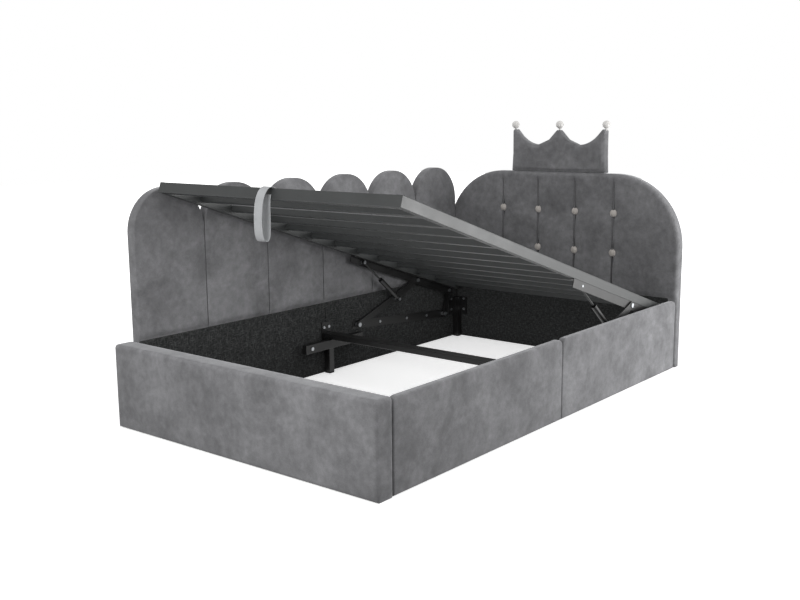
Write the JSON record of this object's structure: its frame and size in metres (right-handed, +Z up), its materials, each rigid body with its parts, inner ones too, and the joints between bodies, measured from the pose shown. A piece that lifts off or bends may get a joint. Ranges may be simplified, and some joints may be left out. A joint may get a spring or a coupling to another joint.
{
  "type": "lift-up storage day bed",
  "caption": "Upholstered day bed with a scalloped back, tufted headboard with a crown, and a slatted frame that lifts on a gas-assisted linkage.",
  "frame": {"origin": "on the floor, under the centre of the whole bed", "axes": "+X from the footboard to the headboard (length), -Y the low front rail, +Y the scalloped back, +Z up"},
  "size_m": [2.172, 1.28, 1.122],
  "materials": {
    "velvet": "short-pile velvet",
    "lining": "plain weave",
    "board": "plywood",
    "buttons": "satin cloth",
    "pearls": "pearl lacquer",
    "frame_paint": "powder coat, grey",
    "black_steel": "powder coat, black",
    "bright_steel": "zinc plated",
    "plastic": "moulded",
    "webbing": "woven webbing"
  },
  "bodies": {
    "base": {"footboard_core": "board", "footboard_cover": "velvet", "front_rail_core_foot": "board", "front_rail_core_head": "board", "front_rail_cover_foot": "velvet", "front_rail_cover_head": "velvet", "back_board_core_foot": "board", "back_board_core_head": "board", "back_board_cover_foot": "velvet", "back_board_cover_head": "velvet", "back_lining_foot": "lining", "back_lining_head": "lining", "headboard_core": "board", "headboard_cover": "velvet", "headboard_buttons": "buttons", "crown_core": "board", "crown_cover": "velvet", "crown_pearls": "pearls", "crown_plates": "bright_steel", "crown_screws": "bright_steel", "corner_legs": "black_steel", "centre_legs": "black_steel", "leg_glides": "plastic", "joint_bars": "black_steel", "crossbar": "black_steel", "base_rail_front": "black_steel", "base_rail_back": "black_steel", "base_pivot_studs": "bright_steel", "pivot_bushes": "bright_steel", "panel_bolts": "bright_steel", "bar_bolts": "bright_steel"},
    "long_arms": {"long_arm_front": "black_steel", "long_arm_back": "black_steel", "strut_studs_lower": "bright_steel"},
    "lift_frame": {"frame_side_front": "frame_paint", "frame_side_back": "frame_paint", "frame_foot_rail": "frame_paint", "frame_head_rail": "frame_paint", "slat_01": "frame_paint", "slat_02": "frame_paint", "slat_03": "frame_paint", "slat_04": "frame_paint", "slat_05": "frame_paint", "slat_06": "frame_paint", "slat_07": "frame_paint", "slat_08": "frame_paint", "slat_09": "frame_paint", "slat_10": "frame_paint", "slat_11": "frame_paint", "upper_rail_front": "black_steel", "upper_rail_back": "black_steel", "frame_pivot_pins": "bright_steel", "strut_studs_upper": "bright_steel", "pull_strap": "webbing"},
    "short_arms": {"short_arm_front": "black_steel", "short_arm_back": "black_steel"},
    "gas_cylinders": {"gas_cylinder_front": "black_steel", "gas_cylinder_back": "black_steel"},
    "gas_rods": {"gas_rod_front": "black_steel", "gas_rod_back": "black_steel"}
  },
  "joints": [
    {"name": "lift_arms", "type": "hinge", "parent": "base", "child": "long_arms", "pos_m": [0.225, -0.012, 0.187], "axis": [0, 1, 0], "range_deg": [0, 13.24], "stiffness_Nm_per_rad": 1500, "springref_deg": -28.65},
    {"name": "frame_tilt", "type": "hinge", "parent": "long_arms", "child": "lift_frame", "pos_m": [0.66731, -0.012, 0.34245], "axis": [0, 1, 0], "range_deg": [-31.48, 0]},
    {"name": "short_arm_swing", "type": "hinge", "parent": "base", "child": "short_arms", "pos_m": [0.9, -0.012, 0.135], "axis": [0, 1, 0], "range_deg": [0, 21.3]},
    {"name": "cylinder_swing", "type": "hinge", "parent": "long_arms", "child": "gas_cylinders", "pos_m": [0.49686, -0.012, 0.273], "axis": [0, 1, 0], "range_deg": [-45.34, 0]},
    {"name": "rod_swing", "type": "hinge", "parent": "lift_frame", "child": "gas_rods", "pos_m": [0.24275, -0.012, 0.48228], "axis": [0, 1, 0], "range_deg": [-13.87, 0]}
  ],
  "couplings": [
    {"joint": "frame_tilt", "follows": "lift_arms", "ratio": -2.377},
    {"joint": "short_arm_swing", "follows": "lift_arms", "ratio": 1.6079},
    {"joint": "cylinder_swing", "follows": "lift_arms", "ratio": -3.4236},
    {"joint": "rod_swing", "follows": "lift_arms", "ratio": -1.0467}
  ]
}
